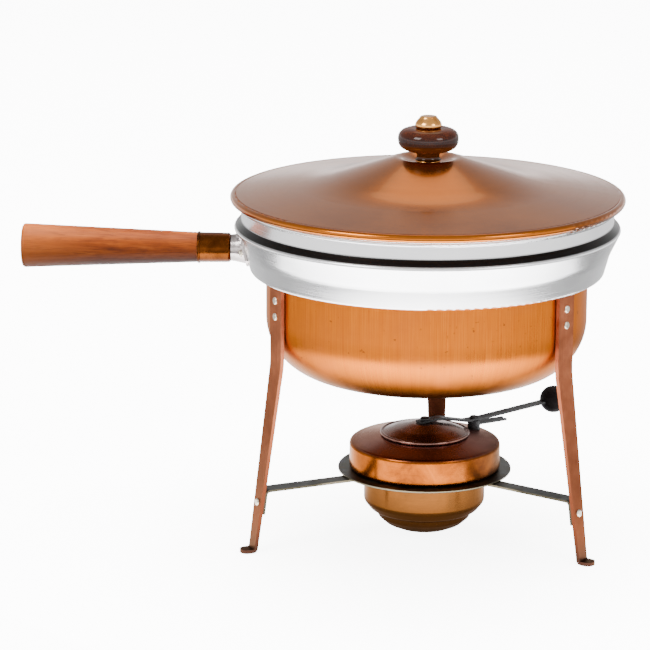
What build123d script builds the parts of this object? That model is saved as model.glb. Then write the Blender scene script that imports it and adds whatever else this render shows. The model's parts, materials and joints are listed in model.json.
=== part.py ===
"""Fondue pot set: a copper water pan on three legs, a long-handled food pan, a lid and a spirit burner.

Millimetres, +Z up. The origin is on the pans' common axis, on the surface that the feet stand on.
The long handle points along -X, and the front of the set faces -Y.
"""

import os
from math import atan, cos, degrees, radians, sin

from build123d import *

# ---- driving dimensions ----------------------------------------------------------------------

# stand
water_pan_radius = 114.5
water_pan_floor = 120.0
water_pan_rim = 193.6
water_pan_corner = 40.0
copper_sheet = 1.2
leg_azimuths = {"left": 206.0, "right": 326.0, "back": 86.0}
leg_thickness = 2.6
leg_top_width = 19.0
leg_foot_width = 10.5
leg_top = 190.5
leg_knee = 136.0
leg_spread = 18.6
foot_reach = 9.6
leg_knee_bend = 70.0
leg_toe_bend = 2.2
leg_upright_toe = 8.0
rivet_heights = (181.5, 170.0)
rivet_shank = 1.6
rivet_head = 2.7
rivet_head_height = 1.3
rivet_tail = 0.9
ring_outer_radius = 62.5
ring_inner_radius = 45.0
ring_top = 47.0
ring_thickness = 1.5
arm_width = 12.0
arm_thickness = 1.6
arm_tab_bottom = 28.0
arm_rivet_height = 36.0
arm_bend = 3.0
arm_overlap = 11.0

# food pan
food_pan_sheet = 1.4
food_pan_radius = 110.0
food_pan_floor = 132.0
shelf_height = 194.6
dish_foot_radius = 125.2
dish_waist = (129.4, 210.0)
dish_brim = (136.6, 225.0)
neck_radius = 131.5
neck_foot = 230.4
rim_bead = 2.0
rim_bead_offset = 0.8
rim_height = 243.4

# long handle
handle_height = 207.6
socket_face = 139.4
socket_plate = (40.0, 20.5)
socket_plate_corner = 6.0
plate_thickness = 1.8
socket_rivet_turn = 6.2
socket_rivet_reach = 131.7
socket_rivet_height = 207.0
socket_rivet_tilt = -21.0
socket_rivet_grip = 4.6
ferrule_length = 24.0
ferrule_sheet = 0.9
ferrule_radius = 10.5
grip_near_radius = 10.7
grip_end_radius = 15.8
grip_end = 288.6
grip_end_round = 2.4
tang_radius = 3.0
tang_end = 246.0
tang_bite = 5.0

# lid
lid_sheet = 1.2
lid_radius = 140.0
lid_bead = 2.8
lid_bead_height = 246.4
lid_crown = 271.0
lid_flat_radius = 10.5
lid_step = (21.5, 274.9)
lid_shoulder = (79.0, 256.6)
seat_ring_radius = 129.4
seat_ring_height = 244.3
seat_ring_drop = 7.7
seat_ring_width = 5.3
washer_radius = 8.9
washer_height = 1.5
knob_radius = 21.5
knob_height = 22.6
knob_top_radius = 12.2
knob_equator_height = 14.3
cap_foot_radius = 8.3
cap_height = 8.7
nut_radius = 5.0
nut_height = 2.4
stud_radius = 2.5
stud_end = 1.5

# burner
burner_sheet = 1.1
burner_base = 2.5
bowl_radius = 43.1
drum_radius = 53.8
drum_shoulder = 66.0
drum_crown = 70.4
drum_flat_radius = 32.0
flame_hole_radius = 24.0
flame_collar = 6.4
gauze_thickness = 0.9
wadding_bottom = 24.0
wadding_height = 33.0
snuffer_radius = 32.4
snuffer_sheet = 0.9
snuffer_bead = 1.3
snuffer_gap = 0.35
snuffer_crown = 79.3
snuffer_shoulder = (21.5, 76.2)
snuffer_rivet_radius = 2.0
snuffer_rivet_head = 3.6
lever_azimuth = 32.0
pivot_reach = 42.0
pin_radius = 1.6
pin_head_radius = 3.2
bracket_boss_radius = 4.6
bracket_height = 73.2
bracket_length = 27.0
lever_height = 76.6
lever_width = 7.0
lever_thickness = 1.5
ball_reach = 111.5
ball_height = 81.9
ball_radius = 10.0

# fits
running_gap = 0.05
rivet_gap = 0.02


# ---- shared shapes ---------------------------------------------------------------------------


def radial_plane(azimuth):
    """A plane through the pans' axis: its x runs outwards at the azimuth and its y runs up."""
    c, s = cos(radians(azimuth)), sin(radians(azimuth))
    return Plane((0, 0, 0), x_dir=(c, s, 0), z_dir=(s, -c, 0))


def facing_plane(azimuth, reach=0.0, height=0.0, tilt=0.0):
    """A plane that faces outwards at the azimuth, tilted up by the given angle."""
    c, s = cos(radians(azimuth)), sin(radians(azimuth))
    out, up = cos(radians(tilt)), sin(radians(tilt))
    return Plane((reach * c, reach * s, height), x_dir=(-s, c, 0), z_dir=(c * out, s * out, up))


def finish(builder, label):
    """Names the piece and writes it to its own file."""
    builder.part.label = label
    export_step(builder.part, f"parts/{label}.step")


def sheet_section(points, bends, thickness):
    """The section of a spun sheet: a bent line, given as radius and height, with its thickness."""
    with BuildSketch(Plane.XZ) as section:
        with BuildLine():
            FilletPolyline(*points, radius=bends)
        trace(line_width=thickness)
    return section.sketch


def make_rivet(grip):
    """A round-headed rivet along +Z: its head sits on the origin and its shank reaches grip below."""
    with BuildPart() as rivet:
        Cylinder(rivet_head, rivet_head_height, align=(Align.CENTER, Align.CENTER, Align.MIN))
        fillet(rivet.edges().filter_by(GeomType.CIRCLE).sort_by(Axis.Z)[-1], 0.85 * rivet_head_height)
        with Locations((0, 0, -grip)):
            Cylinder(rivet_shank, grip, align=(Align.CENTER, Align.CENTER, Align.MIN))
    return rivet.part


os.makedirs("parts", exist_ok=True)

# ---- stand: water pan, legs, burner ring and its arms ------------------------------------------

leg_centre = water_pan_radius + leg_thickness / 2 + 0.2
leg_slope = leg_spread / (leg_knee - leg_thickness / 2)
leg_tilt = degrees(atan(leg_slope))
leg_face = leg_centre + leg_thickness / 2
pan_rivet_grip = leg_thickness + copper_sheet + rivet_tail
arm_rivet_grip = leg_thickness + arm_thickness + rivet_tail


def leg_reach(height):
    """How far from the axis the sloping shin's centre line is at a height."""
    return leg_centre + leg_slope * (leg_knee - height)


pan_rivet_seats = [facing_plane(a, leg_face, z) for a in leg_azimuths.values() for z in rivet_heights]
arm_rivet_seats = [
    facing_plane(a, leg_reach(arm_rivet_height) + 0.5 * leg_thickness / cos(radians(leg_tilt)),
                 arm_rivet_height, leg_tilt)
    for a in leg_azimuths.values()
]

with BuildPart() as water_pan:
    wall = water_pan_radius - copper_sheet / 2
    floor = water_pan_floor + copper_sheet / 2
    rim = water_pan_rim - copper_sheet / 2
    profile = sheet_section(
        [(0, floor), (wall, floor), (wall, rim), (wall + 2.8, rim)],
        [water_pan_corner - copper_sheet / 2, 1.4],
        copper_sheet,
    )
    add(profile)
    revolve(axis=Axis.Z)
    with Locations(*pan_rivet_seats):
        Cylinder(rivet_shank + rivet_gap, 4 * leg_thickness, mode=Mode.SUBTRACT)
finish(water_pan, "water_pan")


def make_leg(azimuth):
    """A flat strap: upright beside the pan, splayed below it and turned out into a round-ended foot."""
    sole = leg_thickness / 2
    with BuildPart() as leg:
        with BuildSketch(radial_plane(azimuth)):
            with BuildLine():
                FilletPolyline(
                    (leg_centre, leg_top),
                    (leg_centre, leg_knee),
                    (leg_centre + leg_spread, sole),
                    (leg_centre + leg_spread + foot_reach, sole),
                    radius=[leg_knee_bend, leg_toe_bend],
                )
            trace(line_width=leg_thickness)
        extrude(amount=leg_top_width / 2, both=True)
        with BuildSketch(facing_plane(azimuth)):
            with BuildLine():
                Polyline(
                    (-leg_foot_width / 2, 0),
                    (leg_foot_width / 2, 0),
                    (leg_foot_width / 2, leg_upright_toe),
                    (leg_top_width / 2, leg_knee + 10),
                    (leg_top_width / 2, leg_top),
                    (-leg_top_width / 2, leg_top),
                    (-leg_top_width / 2, leg_knee + 10),
                    (-leg_foot_width / 2, leg_upright_toe),
                    close=True,
                )
            make_face()
        extrude(amount=2 * water_pan_radius, mode=Mode.INTERSECT)
        outwards = Axis((0, 0, 0), radial_plane(azimuth).x_dir)
        fillet(leg.edges().filter_by(Axis.Z).group_by(outwards)[-1], 0.45 * leg_foot_width)
        with Locations(*pan_rivet_seats, *arm_rivet_seats):
            Cylinder(rivet_shank + rivet_gap, 4 * leg_thickness, mode=Mode.SUBTRACT)
    return leg


for side, azimuth in leg_azimuths.items():
    finish(make_leg(azimuth), f"leg_{side}")

with BuildPart() as pan_rivets:
    with Locations(*pan_rivet_seats):
        add(make_rivet(pan_rivet_grip))
finish(pan_rivets, "pan_rivets")

ring_bottom = ring_top - ring_thickness

with BuildPart() as burner_ring:
    with BuildSketch(Plane.XY.offset(ring_bottom)):
        Circle(ring_outer_radius)
        Circle(ring_inner_radius, mode=Mode.SUBTRACT)
    extrude(amount=ring_thickness)
    fillet(burner_ring.edges(), 0.4)
finish(burner_ring, "burner_ring")


def make_arm(azimuth):
    """A strap under the ring that turns down behind the leg, where a rivet holds it."""
    level = ring_bottom - arm_thickness / 2
    behind = leg_thickness / 2 + arm_thickness / 2 + 0.15
    with BuildPart() as arm:
        with BuildSketch(radial_plane(azimuth)):
            with BuildLine():
                FilletPolyline(
                    (ring_outer_radius - arm_overlap, level),
                    (leg_reach(level) - behind, level),
                    (leg_reach(arm_tab_bottom) - behind, arm_tab_bottom),
                    radius=arm_bend,
                )
            trace(line_width=arm_thickness)
        extrude(amount=arm_width / 2, both=True)
        with Locations(*arm_rivet_seats):
            Cylinder(rivet_shank + rivet_gap, 6 * leg_thickness, mode=Mode.SUBTRACT)
    return arm


for side, azimuth in leg_azimuths.items():
    finish(make_arm(azimuth), f"ring_arm_{side}")

with BuildPart() as arm_rivets:
    with Locations(*arm_rivet_seats):
        add(make_rivet(arm_rivet_grip))
finish(arm_rivets, "arm_rivets")

# ---- food pan and its long handle --------------------------------------------------------------

socket_rivet_seats = [
    facing_plane(180 + turn, socket_rivet_reach, socket_rivet_height, socket_rivet_tilt)
    for turn in (-socket_rivet_turn, socket_rivet_turn)
]


def dish_wall(clearance):
    """The section inside the dish's flared wall on the handle's side, grown by a clearance."""
    foot = (-dish_foot_radius - clearance, shelf_height)
    waist = (-dish_waist[0] - clearance, dish_waist[1])
    brim = (-dish_brim[0] - clearance, dish_brim[1])
    with BuildSketch(Plane.XZ) as section:
        with BuildLine():
            FilletPolyline(foot, waist, brim, radius=30)
            Polyline(brim, (-food_pan_radius, dish_brim[1]), (-food_pan_radius, shelf_height), foot)
        make_face()
    return section.sketch


with BuildPart() as food_pan:
    profile = sheet_section(
        [
            (0, food_pan_floor),
            (food_pan_radius, food_pan_floor),
            (food_pan_radius, shelf_height),
            (dish_foot_radius, shelf_height),
            dish_waist,
            dish_brim,
            (neck_radius, neck_foot),
            (neck_radius, rim_height - rim_bead),
        ],
        [24, 1.2, 1.6, 30, 1.0, 2.5],
        food_pan_sheet,
    )
    add(profile)
    revolve(axis=Axis.Z)
    with BuildSketch(Plane.XZ):
        with Locations((neck_radius + rim_bead_offset, rim_height - rim_bead)):
            Circle(rim_bead)
    revolve(axis=Axis.Z)
    with Locations(*socket_rivet_seats):
        Cylinder(rivet_shank + rivet_gap, 10, mode=Mode.SUBTRACT)
finish(food_pan, "food_pan")

handle_axis = Axis((0, 0, handle_height), (-1, 0, 0))
wall_clearance = food_pan_sheet / 2 + 0.2

with BuildPart() as handle_socket:
    with BuildSketch(Plane((-food_pan_radius, 0, handle_height), x_dir=(0, 1, 0), z_dir=(-1, 0, 0))):
        RectangleRounded(*socket_plate, socket_plate_corner)
    extrude(amount=socket_plate[0])
    add(dish_wall(wall_clearance + plate_thickness))
    revolve(axis=Axis.Z, mode=Mode.INTERSECT)
    with BuildSketch(Plane.XZ):
        with BuildLine():
            Polyline(
                (-125, handle_height),
                (-socket_face, handle_height),
                (-socket_face, handle_height + 9.4),
                (-socket_face + 3.5, handle_height + 9.9),
                (-125, handle_height + 12.0),
                close=True,
            )
        make_face()
    revolve(axis=handle_axis)
    add(dish_wall(wall_clearance))
    revolve(axis=Axis.Z, mode=Mode.SUBTRACT)
    with Locations(Plane((-socket_face, 0, handle_height), z_dir=(1, 0, 0))):
        Cylinder(tang_radius + rivet_gap, 11, mode=Mode.SUBTRACT)
    with Locations(*socket_rivet_seats):
        Cylinder(rivet_shank + rivet_gap, 10, mode=Mode.SUBTRACT)
finish(handle_socket, "handle_socket")

with BuildPart() as socket_rivets:
    with Locations(*[seat.offset(1.1) for seat in socket_rivet_seats]):
        add(make_rivet(socket_rivet_grip))
finish(socket_rivets, "socket_rivets")

ferrule_near = socket_face + 0.1
ferrule_far = ferrule_near + ferrule_length
spigot_radius = ferrule_radius - ferrule_sheet - 0.1

with BuildPart() as handle_ferrule:
    with BuildSketch(Plane.XZ):
        with BuildLine():
            FilletPolyline(
                (-ferrule_near - ferrule_sheet / 2, handle_height + tang_radius + 0.6),
                (-ferrule_near - ferrule_sheet / 2, handle_height + ferrule_radius - ferrule_sheet / 2),
                (-ferrule_far, handle_height + ferrule_radius - ferrule_sheet / 2 + 0.3),
                radius=1.6,
            )
        trace(line_width=ferrule_sheet)
        with Locations((-ferrule_far + 1.1, handle_height + ferrule_radius + 0.1)):
            Circle(0.9)
    revolve(axis=handle_axis)
finish(handle_ferrule, "handle_ferrule")

with BuildPart() as handle_grip:
    with BuildSketch(Plane.XZ):
        with BuildLine():
            Polyline(
                (-ferrule_near - ferrule_sheet - 1.2, handle_height),
                (-ferrule_near - ferrule_sheet - 1.2, handle_height + spigot_radius - 0.6),
                (-ferrule_far - 0.1, handle_height + spigot_radius - 0.2),
                (-ferrule_far - 0.1, handle_height + grip_near_radius),
                (-grip_end, handle_height + grip_end_radius),
                (-grip_end, handle_height),
                close=True,
            )
        make_face()
    revolve(axis=handle_axis)
    fillet(handle_grip.edges().filter_by(GeomType.CIRCLE).sort_by(Axis.X)[0], grip_end_round)
    with Locations(Plane((-ferrule_near, 0, handle_height), z_dir=(-1, 0, 0))):
        Cylinder(
            tang_radius + rivet_gap,
            tang_end - ferrule_near + 2,
            align=(Align.CENTER, Align.CENTER, Align.MIN),
            mode=Mode.SUBTRACT,
        )
finish(handle_grip, "handle_grip")

with BuildPart() as handle_tang:
    with Locations(Plane((-socket_face + tang_bite, 0, handle_height), z_dir=(-1, 0, 0))):
        Cylinder(
            tang_radius,
            tang_end - socket_face + tang_bite,
            align=(Align.CENTER, Align.CENTER, Align.MIN),
        )
    chamfer(handle_tang.edges().filter_by(GeomType.CIRCLE).sort_by(Axis.X)[0], 1.0)
finish(handle_tang, "handle_tang")

# ---- lid and its knob --------------------------------------------------------------------------

lid_top = lid_crown + lid_sheet / 2
stud_hole = stud_radius + rivet_gap

with BuildPart() as lid_shell:
    profile = sheet_section(
        [
            (stud_hole, lid_crown),
            (lid_flat_radius, lid_crown),
            lid_step,
            lid_shoulder,
            (lid_radius - lid_bead - 1.5, lid_bead_height + lid_bead - lid_sheet / 2),
        ],
        [7, 9, 160],
        lid_sheet,
    )
    add(profile)
    revolve(axis=Axis.Z)
    with BuildSketch(Plane.XZ):
        with Locations((lid_radius - lid_bead, lid_bead_height)):
            Circle(lid_bead)
    revolve(axis=Axis.Z)
finish(lid_shell, "lid_shell")

with BuildPart() as lid_seat_ring:
    corner = (seat_ring_radius, seat_ring_height)
    flange = (seat_ring_radius + seat_ring_width, seat_ring_height)
    skirt = (seat_ring_radius, seat_ring_height - seat_ring_drop)
    add(sheet_section([flange, corner, skirt], 1.2, 1.0))
    revolve(axis=Axis.Z)
finish(lid_seat_ring, "lid_seat_ring")

with BuildPart() as knob_washer:
    with BuildSketch(Plane.XY.offset(lid_top)):
        Circle(washer_radius)
        Circle(stud_hole, mode=Mode.SUBTRACT)
    extrude(amount=washer_height)
    top_edges = knob_washer.edges().filter_by(GeomType.CIRCLE).group_by(Axis.Z)[-1]
    fillet(top_edges.sort_by(SortBy.RADIUS)[-1], 0.9)
finish(knob_washer, "knob_washer")

knob_foot = lid_top + washer_height
knob_top = knob_foot + knob_height
knob_equator = knob_foot + knob_equator_height
cap_top = knob_top + cap_height

with BuildPart() as knob_grip:
    with BuildSketch(Plane.XZ):
        with BuildLine():
            Line((stud_hole, knob_foot), (9.3, knob_foot))
            ThreePointArc((9.3, knob_foot), (8.1, knob_foot + 3.2), (11.0, knob_foot + 6.0))
            Spline(
                (11.0, knob_foot + 6.0),
                (knob_radius, knob_equator),
                (knob_top_radius, knob_top),
                tangents=[(1.0, 0.12), (-1.0, 0.05)],
            )
            Polyline((knob_top_radius, knob_top), (stud_hole, knob_top), (stud_hole, knob_foot))
        make_face()
    revolve(axis=Axis.Z)
finish(knob_grip, "knob_grip")

with BuildPart() as knob_cap:
    with BuildSketch(Plane.XZ):
        with BuildLine():
            Line((0, knob_top), (cap_foot_radius, knob_top))
            Spline(
                (cap_foot_radius, knob_top),
                (9.4, knob_top + 3.0),
                (6.4, knob_top + 7.4),
                (0, cap_top),
                tangents=[(0.9, 0.6), (-1.0, 0)],
            )
            Line((0, cap_top), (0, knob_top))
        make_face()
    revolve(axis=Axis.Z)
    with Locations((0, 0, knob_top)):
        Cylinder(stud_hole, 12, mode=Mode.SUBTRACT)
finish(knob_cap, "knob_cap")

lid_underside = lid_crown - lid_sheet / 2

with BuildPart() as knob_nut:
    with BuildSketch(Plane.XY.offset(lid_underside - nut_height)):
        RegularPolygon(nut_radius, 6)
        Circle(stud_hole, mode=Mode.SUBTRACT)
    extrude(amount=nut_height)
finish(knob_nut, "knob_nut")

with BuildPart() as knob_stud:
    with BuildSketch(Plane.XY.offset(lid_underside - nut_height - stud_end)):
        Circle(stud_radius)
    extrude(amount=knob_top + 5.5 - lid_underside + nut_height + stud_end)
    chamfer(knob_stud.edges().filter_by(GeomType.CIRCLE), 0.5)
finish(knob_stud, "knob_stud")

# ---- spirit burner -----------------------------------------------------------------------------

with BuildPart() as burner_bowl:
    base = burner_base + burner_sheet / 2
    profile = sheet_section(
        [
            (0, base),
            (19.5, base),
            (27.5, 6.6),
            (32.6, 11.2),
            (34.2, 15.4),
            (38.6, 17.4),
            (bowl_radius, 23.0),
            (bowl_radius, 58.0),
        ],
        [6, 7, 2.5, 1.6, 5, 5],
        burner_sheet,
    )
    add(profile)
    revolve(axis=Axis.Z)
finish(burner_bowl, "burner_bowl")

with BuildPart() as burner_cover:
    seat = ring_top + 0.2 + burner_sheet / 2
    profile = sheet_section(
        [
            (bowl_radius + burner_sheet / 2 + 0.1, seat),
            (drum_radius, seat),
            (drum_radius, drum_shoulder),
            (drum_flat_radius, drum_crown),
            (flame_hole_radius, drum_crown),
            (flame_hole_radius, drum_crown - flame_collar),
        ],
        [1.6, 2.2, 2.0, 1.4],
        burner_sheet,
    )
    add(profile)
    revolve(axis=Axis.Z)
finish(burner_cover, "burner_cover")

with BuildPart() as burner_gauze:
    with BuildSketch(Plane.XY.offset(drum_crown - flame_collar + 1.0)):
        Circle(flame_hole_radius - burner_sheet / 2 - 0.1)
    extrude(amount=gauze_thickness)
finish(burner_gauze, "burner_gauze")

with BuildPart() as fuel_wadding:
    with BuildSketch(Plane.XY.offset(wadding_bottom)):
        Circle(bowl_radius - burner_sheet / 2 - 1.0)
    extrude(amount=wadding_height)
    fillet(fuel_wadding.edges().group_by(Axis.Z)[0], 3.0)
finish(fuel_wadding, "fuel_wadding")

# ---- snuffer, its lever and the pivot that it swings on ------------------------------------------

pivot_x = pivot_reach * cos(radians(lever_azimuth))
pivot_y = pivot_reach * sin(radians(lever_azimuth))
drum_slope = (drum_crown - drum_shoulder) / (drum_radius - drum_flat_radius)
drum_skin = burner_sheet / 2 + 0.1


def drum_top(radius):
    """Height just above the sloping top of the burner's cover."""
    return drum_crown - drum_slope * (radius - drum_flat_radius) + drum_skin


with BuildPart() as snuffer_bracket:
    with BuildSketch(Plane.XY.offset(drum_shoulder)):
        with Locations((pivot_x, pivot_y)):
            Circle(bracket_boss_radius)
    extrude(amount=lever_height - lever_thickness / 2 - 0.1 - drum_shoulder)
    with BuildSketch(radial_plane(lever_azimuth)):
        with Locations((pivot_reach + bracket_length / 2 - 0.5, bracket_height)):
            Rectangle(bracket_length, lever_thickness)
    extrude(amount=lever_width / 2, both=True)
    with BuildSketch(Plane.XZ):
        Polygon(
            (25, 55),
            (70, 55),
            (70, drum_top(70)),
            (25, drum_top(25)),
            align=None,
        )
    revolve(axis=Axis.Z, mode=Mode.SUBTRACT)
    with BuildSketch(facing_plane(lever_azimuth, pivot_reach + bracket_length, bracket_height)):
        Rectangle(2.4, 4)
    extrude(amount=-4.0, mode=Mode.SUBTRACT)
    with Locations((pivot_x, pivot_y, lever_height)):
        Cylinder(pin_radius + rivet_gap, 10, mode=Mode.SUBTRACT)
finish(snuffer_bracket, "snuffer_bracket")

snuffer_hole = snuffer_rivet_radius + rivet_gap
lever_over_lid = 80.6

with BuildPart() as snuffer_lid:
    bead_height = drum_crown + burner_sheet / 2 + snuffer_gap + snuffer_bead
    profile = sheet_section(
        [
            (snuffer_hole, snuffer_crown),
            (8.5, snuffer_crown - 0.1),
            snuffer_shoulder,
            (snuffer_radius - snuffer_bead, bead_height),
        ],
        [12, 20],
        snuffer_sheet,
    )
    add(profile)
    revolve(axis=Axis.Z)
    with BuildSketch(Plane.XZ):
        with Locations((snuffer_radius - snuffer_bead, bead_height)):
            Circle(snuffer_bead)
    revolve(axis=Axis.Z)
finish(snuffer_lid, "snuffer_lid")

with BuildPart() as snuffer_lever:
    with BuildSketch(radial_plane(lever_azimuth)):
        with BuildLine():
            FilletPolyline(
                (-5.5, lever_over_lid),
                (12.0, lever_over_lid + 1.0),
                (34.0, lever_height - 0.1),
                (pivot_reach + 6, lever_height + 0.1),
                (ball_reach - 5, ball_height - 0.5),
                radius=[14, 10, 20],
            )
        trace(line_width=lever_thickness)
    extrude(amount=lever_width / 2, both=True)
    with Locations((pivot_x, pivot_y, lever_height)):
        Cylinder(pin_radius + running_gap, 10, mode=Mode.SUBTRACT)
    Cylinder(snuffer_hole, 2 * ball_reach, mode=Mode.SUBTRACT)
finish(snuffer_lever, "snuffer_lever")

with BuildPart() as snuffer_rivet:
    with BuildSketch(Plane.XY.offset(lever_over_lid + 1.55)):
        Circle(snuffer_rivet_head)
    extrude(amount=1.7)
    fillet(snuffer_rivet.edges().sort_by(Axis.Z)[-1], 1.4)
    with BuildSketch(Plane.XY.offset(snuffer_crown - 1.1)):
        Circle(snuffer_rivet_radius)
    extrude(amount=4.0)
finish(snuffer_rivet, "snuffer_rivet")

with BuildPart() as pivot_pin:
    with BuildSketch(Plane.XY.offset(lever_height + lever_thickness / 2 + 0.15)):
        with Locations((pivot_x, pivot_y)):
            Circle(pin_head_radius)
    extrude(amount=1.4)
    fillet(pivot_pin.edges().sort_by(Axis.Z)[-1], 1.1)
    with BuildSketch(Plane.XY.offset(lever_height - 4.8)):
        with Locations((pivot_x, pivot_y)):
            Circle(pin_radius)
    extrude(amount=6.0)
finish(pivot_pin, "pivot_pin")

with BuildPart() as ball_knob:
    with Locations(facing_plane(lever_azimuth, ball_reach, ball_height)):
        Sphere(ball_radius)
    add(snuffer_lever.part, mode=Mode.SUBTRACT)
finish(ball_knob, "ball_knob")
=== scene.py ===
"""The looks of the fondue pot set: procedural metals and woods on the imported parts, in a pale studio."""

import json
import math

import bmesh
import bpy
from mathutils import Matrix, Vector


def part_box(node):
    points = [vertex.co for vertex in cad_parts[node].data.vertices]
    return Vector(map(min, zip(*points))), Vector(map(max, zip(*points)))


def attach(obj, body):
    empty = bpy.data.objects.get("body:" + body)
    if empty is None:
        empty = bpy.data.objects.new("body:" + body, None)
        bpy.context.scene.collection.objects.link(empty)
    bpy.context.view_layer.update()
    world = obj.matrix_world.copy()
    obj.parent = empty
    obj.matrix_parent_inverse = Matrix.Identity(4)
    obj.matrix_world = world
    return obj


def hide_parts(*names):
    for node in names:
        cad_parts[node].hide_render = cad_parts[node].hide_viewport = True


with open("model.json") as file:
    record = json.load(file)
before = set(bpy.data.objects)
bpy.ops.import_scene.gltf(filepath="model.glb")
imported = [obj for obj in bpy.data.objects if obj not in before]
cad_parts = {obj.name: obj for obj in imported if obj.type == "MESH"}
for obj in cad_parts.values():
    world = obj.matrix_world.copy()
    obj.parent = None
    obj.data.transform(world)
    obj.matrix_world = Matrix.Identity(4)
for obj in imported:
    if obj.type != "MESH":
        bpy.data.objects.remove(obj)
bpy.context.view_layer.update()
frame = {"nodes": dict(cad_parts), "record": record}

SLOT_OF = {row["node"]: row["material_slot"] for row in frame["record"]["subparts"]}


# ---- small helpers for shader graphs ---------------------------------------------------------

WHITE = (1.0, 1.0, 1.0)
COPPER_EDGE = (0.84, 0.68, 0.58)

# Depths of the relief that the bump shading stands for, in metres.
FINE_MARKS = 0.00002
LIGHT_MARKS = 0.00003
CLEAR_MARKS = 0.00004
CLOUDY_GRAIN = 0.00008
SMALL_LUMPS = 0.0001
WOOD_PORES = 0.00012
LOOSE_FIBRE = 0.0006

# Heights over the table, in metres, between which a finish or a painted shade changes.
FOOT_CONTACT_SHADE = (0.003, 0.022)
BASE_PAINTED_SHADE = (0.004, 0.014)
BASE_ROUGHENS = (0.004, 0.016)
BOWL_TO_DRUM = (0.042, 0.0465)
LOWER_LEG_SHADE = (0.05, 0.14)
DRUM_TO_TOP = (0.0655, 0.068)
PAN_FOOT_SHADE = (0.124, 0.166)
SHOULDER_DARK_REFLECTION = (0.2262, 0.2312)

# Distances from the vertical axis, in metres, over which painted shade comes in: along x for one side of the
# drum, and outward from the ring onto the arms.
DRUM_SHADED_SIDE = (0.018, 0.046)
ARM_SHADE_BEGINS = (0.080, 0.088)


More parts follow.
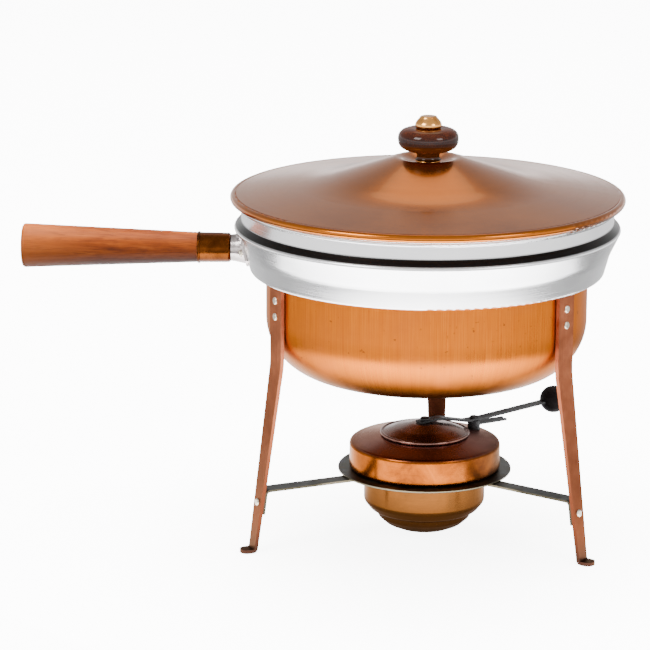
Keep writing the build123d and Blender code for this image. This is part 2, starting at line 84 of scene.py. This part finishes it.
class Graph:
    """A material's node tree, with short ways to add and join its nodes."""

    def __init__(self, name):
        self.material = bpy.data.materials.new(name)
        self.material.use_nodes = True
        self.tree = self.material.node_tree
        self.shader = self.tree.nodes["Principled BSDF"]
        self.place = self.add("ShaderNodeTexCoord").outputs["Object"]

    def add(self, kind, **settings):
        node = self.tree.nodes.new(kind)
        for key, value in settings.items():
            setattr(node, key, value)
        return node

    def join(self, source, target):
        self.tree.links.new(source, target)

    def feed(self, socket, value):
        """Sets a socket to a number or colour, or links it to another node's output."""
        if isinstance(value, bpy.types.NodeSocket):
            self.join(value, socket)
        else:
            socket.default_value = value

    def math(self, operation, first, second=0.0, clamp=False):
        node = self.add("ShaderNodeMath", operation=operation, use_clamp=clamp)
        self.feed(node.inputs[0], first)
        self.feed(node.inputs[1], second)
        return node.outputs[0]

    def split(self):
        """The object-space x, y and z of the shaded point."""
        node = self.add("ShaderNodeSeparateXYZ")
        self.join(self.place, node.inputs[0])
        return node.outputs["X"], node.outputs["Y"], node.outputs["Z"]

    def radius(self):
        """The shaded point's distance from the set's vertical axis."""
        x, y, _ = self.split()
        return self.math("SQRT", self.math("ADD", self.math("MULTIPLY", x, x), self.math("MULTIPLY", y, y)))

    def normal_z(self, node_kind, output):
        """How far the named output of a node, a normal, faces up (1) or down (-1)."""
        parts = self.add("ShaderNodeSeparateXYZ")
        self.join(self.add(node_kind).outputs[output], parts.inputs[0])
        return parts.outputs["Z"]

    def scaled(self, across_x, across_y, across_z):
        """The shaded point with each of its coordinates stretched."""
        x, y, z = self.split()
        return self.vector(
            self.math("MULTIPLY", x, across_x),
            self.math("MULTIPLY", y, across_y),
            self.math("MULTIPLY", z, across_z),
        )

    def vector(self, x, y, z):
        node = self.add("ShaderNodeCombineXYZ")
        for socket, value in zip(node.inputs, (x, y, z)):
            self.feed(socket, value)
        return node.outputs[0]

    def noise(self, vector, scale, detail=4.0, roughness=0.5, distortion=0.0):
        node = self.add("ShaderNodeTexNoise")
        self.feed(node.inputs["Vector"], vector)
        node.inputs["Scale"].default_value = scale
        node.inputs["Detail"].default_value = detail
        node.inputs["Roughness"].default_value = roughness
        node.inputs["Distortion"].default_value = distortion
        return node.outputs["Fac"]

    def ramp(self, value, stops):
        """A colour read from stops of (position, colour)."""
        node = self.add("ShaderNodeValToRGB")
        self.feed(node.inputs[0], value)
        elements = node.color_ramp.elements
        while len(elements) < len(stops):
            elements.new(0.5)
        for element, (position, colour) in zip(elements, stops):
            element.position = position
            element.color = (*colour, 1.0)
        return node.outputs["Color"]

    def between(self, value, low, high, at_low=0.0, at_high=1.0):
        """Maps a value from one range to another, held at the ends."""
        node = self.add("ShaderNodeMapRange")
        self.feed(node.inputs["Value"], value)
        for key, number in (("From Min", low), ("From Max", high), ("To Min", at_low), ("To Max", at_high)):
            node.inputs[key].default_value = number
        return node.outputs["Result"]

    @staticmethod
    def as_colour(value):
        """A plain colour with its alpha, or another node's output as it is."""
        return value if isinstance(value, bpy.types.NodeSocket) else (*value, 1.0)

    def mix(self, share, first, second):
        """The first value where the share is 0, and the second where it is 1."""
        node = self.add("ShaderNodeMix", data_type="RGBA")
        self.feed(node.inputs[0], share)
        self.feed(node.inputs[6], self.as_colour(first))
        self.feed(node.inputs[7], self.as_colour(second))
        return node.outputs[2]

    def around(self, fast, slow):
        """A seamless coordinate round the vertical axis: it runs fast with angle and slowly with height."""
        x, y, z = self.split()
        radius = self.math("MAXIMUM", self.radius(), 0.0001)
        return self.vector(
            self.math("MULTIPLY", self.math("DIVIDE", x, radius), fast),
            self.math("MULTIPLY", self.math("DIVIDE", y, radius), fast),
            self.math("MULTIPLY", z, slow),
        )

    def spun(self, tight):
        """A coordinate that changes with radius and height and hardly with angle, as turning marks do."""
        x, _, z = self.split()
        return self.vector(
            self.math("MULTIPLY", self.radius(), tight),
            self.math("MULTIPLY", z, tight),
            self.math("MULTIPLY", x, 6.0),
        )

    def bump(self, height, depth, strength=1.0):
        node = self.add("ShaderNodeBump")
        self.feed(node.inputs["Height"], height)
        node.inputs["Distance"].default_value = depth
        node.inputs["Strength"].default_value = strength
        self.join(node.outputs["Normal"], self.shader.inputs["Normal"])

    def finish(
        self, colour, roughness, metallic=1.0, coat=0.0, coat_roughness=0.05, specular=0.5, edge=WHITE
    ):
        """Fills in the shader. The edge colour is what a metal shows where it is seen nearly edge-on."""
        self.feed(self.shader.inputs["Base Color"], self.as_colour(colour))
        self.feed(self.shader.inputs["Roughness"], roughness)
        self.shader.inputs["Metallic"].default_value = metallic
        self.shader.inputs["Specular IOR Level"].default_value = specular
        self.shader.inputs["Specular Tint"].default_value = (*edge, 1.0)
        self.shader.inputs["Coat Weight"].default_value = coat
        self.shader.inputs["Coat Roughness"].default_value = coat_roughness
        return self.material


# ---- metals ----------------------------------------------------------------------------------


def lacquered_copper():
    """The lid: spun copper under clear lacquer, bronze in tone, with soft clouds and faint rings."""
    g = Graph("lid_copper")
    clouds = g.noise(g.place, 14.0, 5.0, 0.55)
    rings = g.noise(g.spun(900.0), 1.0, 3.0)
    colour = g.ramp(clouds, [
        (0.3, (0.34, 0.086, 0.003)),
        (0.5, (0.41, 0.108, 0.004)),
        (0.72, (0.47, 0.132, 0.008)),
    ])
    polish = g.between(clouds, 0.3, 0.7, 0.16, 0.23)
    roughness = g.math("ADD", polish, g.between(rings, 0.3, 0.7, 0.0, 0.05))
    g.bump(rings, FINE_MARKS, 0.25)
    return g.finish(colour, roughness, coat=0.24, coat_roughness=0.05)


def satin_copper():
    """The water pan: copper with fine upright scratches, small dark spots and painted shade towards the
    foot.
    """
    g = Graph("pan_copper")
    z = g.split()[2]
    scratches = g.noise(g.around(320.0, 18.0), 1.0, 5.0, 0.65)
    patches = g.noise(g.place, 22.0, 6.0, 0.6)
    spots = g.noise(g.place, 260.0, 2.0, 0.4)
    base = g.ramp(scratches, [
        (0.3, (0.45, 0.100, 0.003)),
        (0.5, (0.55, 0.132, 0.004)),
        (0.7, (0.67, 0.180, 0.010)),
    ])
    # Painted shade: the pan darkens towards its foot.
    painted_foot_shade = g.between(z, *PAN_FOOT_SHADE, 0.96, 0.0)
    base = g.mix(painted_foot_shade, base, (0.040, 0.012, 0.003))
    stains = g.math("MULTIPLY", g.between(patches, 0.52, 0.75), 0.5, clamp=True)
    base = g.mix(stains, base, (0.40, 0.100, 0.016))
    base = g.mix(g.between(spots, 0.70, 0.78, 0.0, 0.75), base, (0.10, 0.030, 0.010))
    worn = g.between(scratches, 0.3, 0.7, 0.24, 0.36)
    roughness = g.math("ADD", worn, g.between(patches, 0.4, 0.7, 0.0, 0.08))
    g.bump(scratches, LIGHT_MARKS, 0.35)
    return g.finish(base, roughness, edge=COPPER_EDGE)


def strap_copper():
    """The legs: brown-copper plated strap with lengthwise wear, and painted shade on the lower legs, nearly
    black at the feet near the table.
    """
    g = Graph("leg_copper")
    z = g.split()[2]
    grain = g.noise(g.scaled(900.0, 900.0, 25.0), 1.0, 4.0)
    patches = g.noise(g.place, 60.0, 5.0, 0.6)
    base = g.ramp(patches, [
        (0.3, (0.22, 0.062, 0.028)),
        (0.5, (0.31, 0.095, 0.044)),
        (0.72, (0.40, 0.135, 0.066)),
    ])
    base = g.mix(g.between(grain, 0.55, 0.75, 0.0, 0.5), base, (0.19, 0.055, 0.025))
    # Painted shade: the legs darken towards the bottom and go nearly black at the feet, near the table.
    base = g.mix(g.between(z, *LOWER_LEG_SHADE, 0.85, 0.0), base, (0.066, 0.016, 0.007))
    base = g.mix(g.between(z, *FOOT_CONTACT_SHADE, 0.85, 0.0), base, (0.022, 0.012, 0.009))
    roughness = g.between(patches, 0.3, 0.7, 0.32, 0.48)
    g.bump(grain, CLEAR_MARKS, 0.4)
    return g.finish(base, roughness, edge=COPPER_EDGE)


def polished_copper():
    """The burner: reddish copper with spin rings, golden at the bowl, with painted shade on one side of the
    drum, which is duller there, and at its base.
    """
    g = Graph("burner_copper")
    x, _, z = g.split()
    rings = g.noise(g.spun(1300.0), 1.0, 4.0)
    patches = g.noise(g.place, 48.0, 6.0, 0.62, 0.6)
    base = g.ramp(patches, [
        (0.28, (0.085, 0.020, 0.004)),
        (0.46, (0.165, 0.038, 0.003)),
        (0.70, (0.25, 0.064, 0.007)),
    ])
    # Painted shade on one side of the drum, which is also made duller there.
    dull_shaded_side = g.math("MULTIPLY", g.between(x, *DRUM_SHADED_SIDE), g.between(patches, 0.25, 0.6, 1.0, 0.55))
    base = g.mix(dull_shaded_side, base, (0.026, 0.014, 0.009))
    golden = g.between(z, *BOWL_TO_DRUM, 0.85, 0.0)
    base = g.mix(golden, base, (0.080, 0.032, 0.008))
    # Painted shade at the burner's base, near the table.
    base = g.mix(g.between(z, *BASE_PAINTED_SHADE, 0.92, 0.0), base, (0.026, 0.013, 0.009))
    top = g.between(z, *DRUM_TO_TOP, 0.0, 0.75)
    base = g.mix(top, base, (0.34, 0.190, 0.190))
    polish = g.between(patches, 0.3, 0.7, 0.24, 0.15)
    roughness = g.math("ADD", polish, g.between(rings, 0.3, 0.7, 0.0, 0.06))
    roughness = g.math("ADD", roughness, g.math("MULTIPLY", dull_shaded_side, 0.30))
    roughness = g.math("ADD", roughness, g.between(z, *BASE_ROUGHENS, 0.30, 0.0))
    g.bump(rings, LIGHT_MARKS, 0.3)
    return g.finish(base, roughness, edge=COPPER_EDGE)


def snuffer_copper():
    """The snuffer's lid: copper browned by heat, with rings."""
    g = Graph("snuffer_copper")
    rings = g.noise(g.spun(1100.0), 1.0, 4.0)
    patches = g.noise(g.place, 70.0, 5.0, 0.6, 0.4)
    base = g.ramp(patches, [
        (0.3, (0.140, 0.078, 0.066)),
        (0.5, (0.235, 0.125, 0.100)),
        (0.72, (0.36, 0.180, 0.135)),
    ])
    g.bump(rings, LIGHT_MARKS, 0.35)
    return g.finish(base, g.between(patches, 0.3, 0.7, 0.20, 0.32))


def aluminium():
    """The food pan and the lid's seat: spun polished aluminium, with a painted dark reflection, a nearly
    black band, on the shoulder.
    """
    g = Graph("pan_aluminium")
    z = g.split()[2]
    turning = g.noise(g.spun(1500.0), 1.0, 3.0)
    clouds = g.noise(g.place, 30.0, 4.0)
    base = g.ramp(clouds, [(0.3, (0.87, 0.87, 0.89)), (0.7, (0.95, 0.95, 0.96))])
    # Painted reflection: a nearly black band round the shoulder, with streaks along the turning.
    lower, upper = SHOULDER_DARK_REFLECTION
    soft = 0.0006
    above = g.between(z, lower - soft, lower + soft)
    below = g.between(z, upper - soft, upper + soft, 1.0, 0.0)
    dark_reflection = g.math("MULTIPLY", above, below)
    reflection_streaks = g.ramp(turning, [(0.3, (0.0015, 0.0012, 0.001)), (0.7, (0.005, 0.004, 0.0035))])
    base = g.mix(dark_reflection, base, reflection_streaks)
    roughness = g.math("ADD", g.between(turning, 0.3, 0.7, 0.14, 0.25), g.math("MULTIPLY", dark_reflection, 0.16))
    g.bump(turning, FINE_MARKS, 0.3)
    return g.finish(base, roughness, metallic=0.82)


def cast_aluminium():
    """The handle's socket: polished casting, a little uneven."""
    g = Graph("socket_aluminium")
    lumps = g.noise(g.place, 180.0, 3.0)
    g.bump(lumps, SMALL_LUMPS, 0.3)
    base = g.ramp(lumps, [(0.3, (0.32, 0.28, 0.27)), (0.7, (0.52, 0.46, 0.45))])
    return g.finish(base, g.between(lumps, 0.3, 0.7, 0.14, 0.28))


def tarnished_brass():
    """The burner's ring and arms: dark olive brown with lighter worn edges, and painted shade darkening the
    arms.
    """
    g = Graph("dark_brass")
    patches = g.noise(g.place, 110.0, 6.0, 0.65)
    base = g.ramp(patches, [
        (0.3, (0.022, 0.020, 0.014)),
        (0.55, (0.054, 0.048, 0.033)),
        (0.78, (0.14, 0.118, 0.076)),
    ])
    upright = g.math("ABSOLUTE", g.normal_z("ShaderNodeNewGeometry", "True Normal"))
    edge = g.between(upright, 0.3, 0.8, 0.75, 0.0)
    base = g.mix(edge, base, (0.17, 0.142, 0.095))
    # Painted shade, darker along the arms than on the ring.
    base = g.mix(g.between(g.radius(), *ARM_SHADE_BEGINS, 0.0, 0.75), base, (0.010, 0.009, 0.006))
    g.bump(patches, SMALL_LUMPS, 0.3)
    return g.finish(base, g.between(patches, 0.3, 0.7, 0.30, 0.48))


def plain_metal(name, dark, light, rough_low, rough_high, scale=140.0):
    """A small metal piece with slight clouds in its colour and polish."""
    g = Graph(name)
    clouds = g.noise(g.place, scale, 5.0, 0.6)
    g.bump(clouds, CLOUDY_GRAIN, 0.25)
    base = g.ramp(clouds, [(0.3, dark), (0.7, light)])
    return g.finish(base, g.between(clouds, 0.3, 0.7, rough_low, rough_high))


def ferrule_copper():
    """The handle's ferrule: darkened copper with deep orange patches."""
    g = Graph("ferrule_copper")
    patches = g.noise(g.place, 90.0, 5.0, 0.6)
    base = g.ramp(patches, [(0.3, (0.045, 0.012, 0.002)), (0.7, (0.125, 0.034, 0.006))])
    return g.finish(base, g.between(patches, 0.3, 0.7, 0.20, 0.32))


# ---- woods, blacks and wadding ---------------------------------------------------------------


def grip_wood():
    """The handle: reddish hardwood, grained lengthwise, with dark pores, a worn end and painted shade on its
    underside.
    """
    g = Graph("grip_wood")
    x = g.split()[0]
    figure = g.noise(g.scaled(9.0, 130.0, 130.0), 1.0, 6.0, 0.6, 1.2)
    pores = g.noise(g.scaled(55.0, 1500.0, 1500.0), 1.0, 3.0, 0.6)
    base = g.ramp(figure, [
        (0.28, (0.085, 0.015, 0.0016)),
        (0.45, (0.160, 0.031, 0.0030)),
        (0.6, (0.225, 0.050, 0.0050)),
        (0.78, (0.32, 0.083, 0.009)),
    ])
    base = g.mix(g.between(pores, 0.52, 0.64, 0.0, 0.7), base, (0.060, 0.012, 0.003))
    # Painted shade on the handle's underside, by the way the surface faces.
    facing_up = g.normal_z("ShaderNodeTexCoord", "Normal")
    base = g.mix(g.between(facing_up, -0.75, 0.30, 0.88, 0.0), base, (0.020, 0.005, 0.003))
    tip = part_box("handle_grip")[0].x
    base = g.mix(g.between(x, tip, tip + 0.055, 0.38, 0.0), base, (0.37, 0.098, 0.018))
    g.bump(pores, WOOD_PORES, 0.4)
    return g.finish(base, g.between(pores, 0.4, 0.7, 0.36, 0.52), metallic=0.0, specular=0.10)


def knob_wood():
    """The knob: the same kind of wood turned small, dark under a glossy lacquer."""
    g = Graph("knob_wood")
    z = g.split()[2]
    figure = g.noise(g.scaled(60.0, 420.0, 420.0), 1.0, 5.0, 0.6, 0.8)
    base = g.ramp(figure, [
        (0.3, (0.010, 0.0018, 0.0005)),
        (0.55, (0.021, 0.0038, 0.0007)),
        (0.78, (0.038, 0.0080, 0.0010)),
    ])
    low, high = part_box("knob_grip")[0].z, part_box("knob_grip")[1].z
    middle = low + 0.48 * (high - low)
    lighter = g.between(z, middle - 0.003, middle + 0.002, 0.75, 0.0)
    base = g.mix(lighter, base, (0.17, 0.042, 0.003))
    neck = g.between(z, low, low + 0.0065, 0.85, 0.0)
    base = g.mix(neck, base, (0.008, 0.002, 0.001))
    roughness = g.between(figure, 0.3, 0.7, 0.18, 0.26)
    return g.finish(base, roughness, metallic=0.0, coat=0.55, coat_roughness=0.03, specular=0.0)


def black_iron():
    """The lever, bracket and pin: blackened steel with rubbed spots."""
    g = Graph("black_iron")
    patches = g.noise(g.place, 150.0, 6.0, 0.65)
    base = g.ramp(patches, [
        (0.4, (0.010, 0.010, 0.011)),
        (0.62, (0.026, 0.026, 0.028)),
        (0.80, (0.10, 0.10, 0.10)),
    ])
    g.bump(patches, SMALL_LUMPS, 0.4)
    return g.finish(base, g.between(patches, 0.3, 0.7, 0.34, 0.55), metallic=0.6)


def black_ball():
    """The lever's ball: moulded black plastic, faintly grained."""
    g = Graph("black_ball")
    grain = g.noise(g.place, 900.0, 3.0)
    g.bump(grain, CLOUDY_GRAIN, 0.3)
    base = g.ramp(grain, [(0.3, (0.004, 0.003, 0.003)), (0.7, (0.009, 0.007, 0.007))])
    return g.finish(base, g.between(grain, 0.3, 0.7, 0.42, 0.56), metallic=0.0, specular=0.04)


def wadding():
    """Loose pale fibre that soaks up the fuel."""
    g = Graph("wadding")
    fibre = g.noise(g.place, 700.0, 8.0, 0.7, 2.0)
    g.bump(fibre, LOOSE_FIBRE, 0.8)
    base = g.ramp(fibre, [(0.3, (0.50, 0.48, 0.42)), (0.7, (0.82, 0.80, 0.74))])
    return g.finish(base, 0.95, metallic=0.0)


MATERIALS = {
    "lid_copper": lacquered_copper(),
    "pan_copper": satin_copper(),
    "leg_copper": strap_copper(),
    "burner_copper": polished_copper(),
    "snuffer_copper": snuffer_copper(),
    "pan_aluminium": aluminium(),
    "socket_aluminium": cast_aluminium(),
    "dark_brass": tarnished_brass(),
    "ferrule_copper": ferrule_copper(),
    "rivet_metal": plain_metal("rivet_metal", (0.42, 0.36, 0.28), (0.74, 0.68, 0.56), 0.28, 0.42),
    "knob_brass": plain_metal("knob_brass", (0.70, 0.27, 0.060), (0.94, 0.48, 0.14), 0.12, 0.22),
    "plain_steel": plain_metal("plain_steel", (0.40, 0.40, 0.41), (0.62, 0.62, 0.63), 0.28, 0.42),
    "gauze_brass": plain_metal("gauze_brass", (0.20, 0.125, 0.050), (0.46, 0.32, 0.15), 0.30, 0.48, 400.0),
    "grip_wood": grip_wood(),
    "knob_wood": knob_wood(),
    "black_iron": black_iron(),
    "black_ball": black_ball(),
    "wadding": wadding(),
}

for name, node in frame["nodes"].items():
    for index in range(len(node.data.materials)):
        node.data.materials[index] = MATERIALS[SLOT_OF[name]]


# ---- woven wire over the fuel ----------------------------------------------------------------

# Lengths in metres.
WIRE_RADIUS = 0.00020
WIRE_PITCH = 0.0015
WIRE_SIDES = 6
RIM_SEGMENTS = 64


def add_piece(name, form, material):
    """An object made from a bmesh, in the scene with its material."""
    mesh = bpy.data.meshes.new(name)
    form.to_mesh(mesh)
    form.free()
    mesh.materials.append(material)
    piece = bpy.data.objects.new(name, mesh)
    bpy.context.scene.collection.objects.link(piece)
    return piece


def add_wire(form, line, radius, closed=False):
    """A round wire along a line of points, capped at its ends unless it's a closed loop."""
    count = len(line)
    turns = [2 * math.pi * k / WIRE_SIDES for k in range(WIRE_SIDES)]
    rings = []
    for i, point in enumerate(line):
        before = line[i - 1] if closed or i else point
        after = line[(i + 1) % count] if closed or i + 1 < count else point
        ahead = (after - before).normalized()
        side = ahead.cross(Vector((0.0, 0.0, 1.0))).normalized()
        lift = side.cross(ahead)
        spokes = [radius * (math.cos(a) * side + math.sin(a) * lift) for a in turns]
        rings.append([form.verts.new(point + spoke) for spoke in spokes])
    for i in range(count if closed else count - 1):
        first, second = rings[i], rings[(i + 1) % count]
        for k in range(WIRE_SIDES):
            form.faces.new((first[k - 1], first[k], second[k], second[k - 1])).smooth = True
    if not closed:
        form.faces.new(rings[0])
        form.faces.new(rings[-1][::-1])


def woven_gauze():
    """Plain-woven wire in a wire rim, in place of the CAD model's gauze disc."""
    low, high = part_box("burner_gauze")
    centre, reach = (low + high) / 2, (high.x - low.x) / 2
    rim = 2 * WIRE_RADIUS
    reach -= rim
    form = bmesh.new()
    rows = int(reach / WIRE_PITCH - 0.3)
    for row in range(-rows, rows + 1):
        offset = row * WIRE_PITCH
        half = math.sqrt(reach**2 - offset**2)
        steps = 4 * math.ceil(half / WIRE_PITCH)
        for lengthwise in (True, False):
            line = []
            for step in range(steps + 1):
                along = half * (2 * step / steps - 1)
                phase = math.pi * (along / WIRE_PITCH + row + (0 if lengthwise else 1))
                height = WIRE_RADIUS * math.cos(phase)
                flat = (along, offset) if lengthwise else (offset, along)
                line.append(centre + Vector((*flat, height)))
            add_wire(form, line, WIRE_RADIUS)
    turns = [2 * math.pi * k / RIM_SEGMENTS for k in range(RIM_SEGMENTS)]
    circle = [centre + reach * Vector((math.cos(a), math.sin(a), 0.0)) for a in turns]
    add_wire(form, circle, rim, closed=True)
    bmesh.ops.recalc_face_normals(form, faces=form.faces)
    piece = add_piece("woven_gauze", form, MATERIALS["gauze_brass"])
    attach(piece, "burner")
    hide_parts("burner_gauze")


woven_gauze()


# ---- studio ----------------------------------------------------------------------------------

STAGE_SEGMENTS = 96
FLOOR_GLOW = 7.0

# The disc's glow: its strength in front and at the middle, and how much of that is left under the set.
DISC_RADIUS = 0.34
GLOW_IN_FRONT, GLOW_AT_MIDDLE, LEFT_UNDER_SET = 11.0, 4.0, 0.12

# The room's strength, and its brightness by direction: stops of (share of the way across, brightness).
ROOM_BRIGHTNESS = 4.4
FRONT_TO_BACK = [(0.0, 1.0), (0.5, 0.75), (0.8, 0.55), (1.0, 0.60)]
BELOW_TO_OVERHEAD = [
    (0.0, 0.07),
    (0.25, 0.13),
    (0.38, 0.50),
    (0.47, 0.50),
    (0.515, 0.95),
    (0.57, 0.34),
    (0.80, 0.22),
    (1.0, 0.24),
]


def sweep(line):
    """The pale floor and backdrop: a line of (radius, z) turned all the way round the set."""
    form = bmesh.new()
    turns = [2 * math.pi * k / STAGE_SEGMENTS for k in range(STAGE_SEGMENTS)]
    rings = [[form.verts.new((r * math.cos(a), r * math.sin(a), z)) for a in turns] for r, z in line]
    form.faces.new(rings[0])
    for inner, outer in zip(rings, rings[1:]):
        for k in range(STAGE_SEGMENTS):
            form.faces.new((inner[k - 1], outer[k - 1], outer[k], inner[k])).smooth = True
    piece = add_piece("floor_sweep", form, floor_white())
    piece.visible_glossy = False
    piece.visible_diffuse = False
    piece.visible_shadow = False


def floor_white():
    """Matt white paper that glows, so that it stays pale and the shadows on it stay faint."""
    g = Graph("floor_white")
    g.shader.inputs["Emission Color"].default_value = (*WHITE, 1.0)
    g.shader.inputs["Emission Strength"].default_value = FLOOR_GLOW
    return g.finish((0.93, 0.93, 0.93), 0.8, metallic=0.0)


def reflected_floor():
    """The glow that polished metal picks up from the floor: least under the set and most in front of it."""
    g = Graph("reflected_floor")
    y = g.split()[1]
    open_floor = g.between(g.radius(), 0.085, 0.15, LEFT_UNDER_SET, 1.0)
    in_front = g.between(y, -0.21, 0.0, GLOW_IN_FRONT, GLOW_AT_MIDDLE)
    g.shader.inputs["Emission Color"].default_value = (*WHITE, 1.0)
    g.feed(g.shader.inputs["Emission Strength"], g.math("MULTIPLY", open_floor, in_front))
    return g.finish((0.2, 0.2, 0.2), 0.9, metallic=0.0)


def studio_floor():
    """A wide round sweep, kept out of reflections, and the disc under the set, seen only in reflections."""
    flat, bend, height, below, steps = 5.0, 2.0, 5.0, 0.0002, 16
    line = [(1.0, -below), (flat, -below)]
    for step in range(1, steps + 1):
        turn = 0.5 * math.pi * step / steps
        line.append((flat + bend * math.sin(turn), bend - bend * math.cos(turn) - below))
    line.append((flat + bend, height))
    sweep(line)
    form = bmesh.new()
    bmesh.ops.create_circle(form, cap_ends=True, radius=DISC_RADIUS, segments=STAGE_SEGMENTS)
    disc = add_piece("floor_disc", form, reflected_floor())
    disc.visible_camera = False
    disc.visible_diffuse = False
    disc.visible_shadow = False


def soft_light(name, place, size, power, aim=(0.0, 0.0, 0.15), in_reflections=True, colour=WHITE):
    """A square area light, turned to face the point it is aimed at."""
    data = bpy.data.lights.new(name, "AREA")
    data.size = size
    data.energy = power
    data.color = colour
    light = bpy.data.objects.new(name, data)
    light.location = place
    light.rotation_euler = (Vector(aim) - Vector(place)).to_track_quat("-Z", "Y").to_euler()
    light.visible_glossy = in_reflections
    bpy.context.scene.collection.objects.link(light)


def world_ramp(tree, value, stops):
    """A grey read from stops of (position, brightness)."""
    ramp = tree.nodes.new("ShaderNodeValToRGB")
    tree.links.new(value, ramp.inputs[0])
    while len(ramp.color_ramp.elements) < len(stops):
        ramp.color_ramp.elements.new(0.5)
    for element, (position, grey) in zip(ramp.color_ramp.elements, stops):
        element.position = position
        element.color = (grey, grey, grey, 1.0)
    return ramp.outputs[0]


def pale_room():
    """Surroundings brighter in front of the set than behind and above it, to give polished metal tone."""
    world = bpy.data.worlds.new("studio")
    bpy.context.scene.world = world
    world.use_nodes = True
    tree = world.node_tree
    place = tree.nodes.new("ShaderNodeTexCoord")
    parts = tree.nodes.new("ShaderNodeSeparateXYZ")
    tree.links.new(place.outputs["Generated"], parts.inputs[0])
    greys = []
    for axis, stops in (("Y", FRONT_TO_BACK), ("Z", BELOW_TO_OVERHEAD)):
        share = tree.nodes.new("ShaderNodeMapRange")
        tree.links.new(parts.outputs[axis], share.inputs["Value"])
        share.inputs["From Min"].default_value = -1.0
        greys.append(world_ramp(tree, share.outputs["Result"], stops))
    product = tree.nodes.new("ShaderNodeMix")
    product.data_type, product.blend_type = "RGBA", "MULTIPLY"
    product.inputs[0].default_value = 1.0
    tree.links.new(greys[0], product.inputs[6])
    tree.links.new(greys[1], product.inputs[7])
    tree.links.new(product.outputs[2], tree.nodes["Background"].inputs["Color"])
    tree.nodes["Background"].inputs["Strength"].default_value = ROOM_BRIGHTNESS


def camera():
    """A long lens at the front, higher than the lid and looking down at the set; angles in radians."""
    distance, height, focal = 2.2, 0.7164, 175.6
    pitch, yaw, roll = 0.2513, 0.0329, 0.004
    data = bpy.data.cameras.new("camera")
    data.sensor_width = 36.0
    data.lens = focal
    data.clip_end = 50.0
    eye = bpy.data.objects.new("camera", data)
    turn = Matrix.Rotation(yaw, 4, "Z")
    turn @= Matrix.Rotation(math.pi / 2 - pitch, 4, "X")
    turn @= Matrix.Rotation(roll, 4, "Z")
    eye.matrix_world = Matrix.Translation((0.0, -distance, height)) @ turn
    bpy.context.scene.collection.objects.link(eye)
    bpy.context.scene.camera = eye


studio_floor()
pale_room()
soft_light("top", (0.0, -0.1, 2.6), 1.8, 230.0, in_reflections=False)
soft_light("key", (-1.7, -1.5, 2.0), 1.2, 60.0)
soft_light("fill", (1.8, -1.6, 1.7), 1.0, 26.0)
soft_light("back panel", (0.0, 1.30, 1.72), 0.7, 2.7, (0.0, 0.0, 0.27), colour=(1.0, 0.74, 0.38))
soft_light("backdrop", (0.0, 2.0, 3.2), 2.4, 420.0, (0.0, 2.0, 0.0), False)
camera()
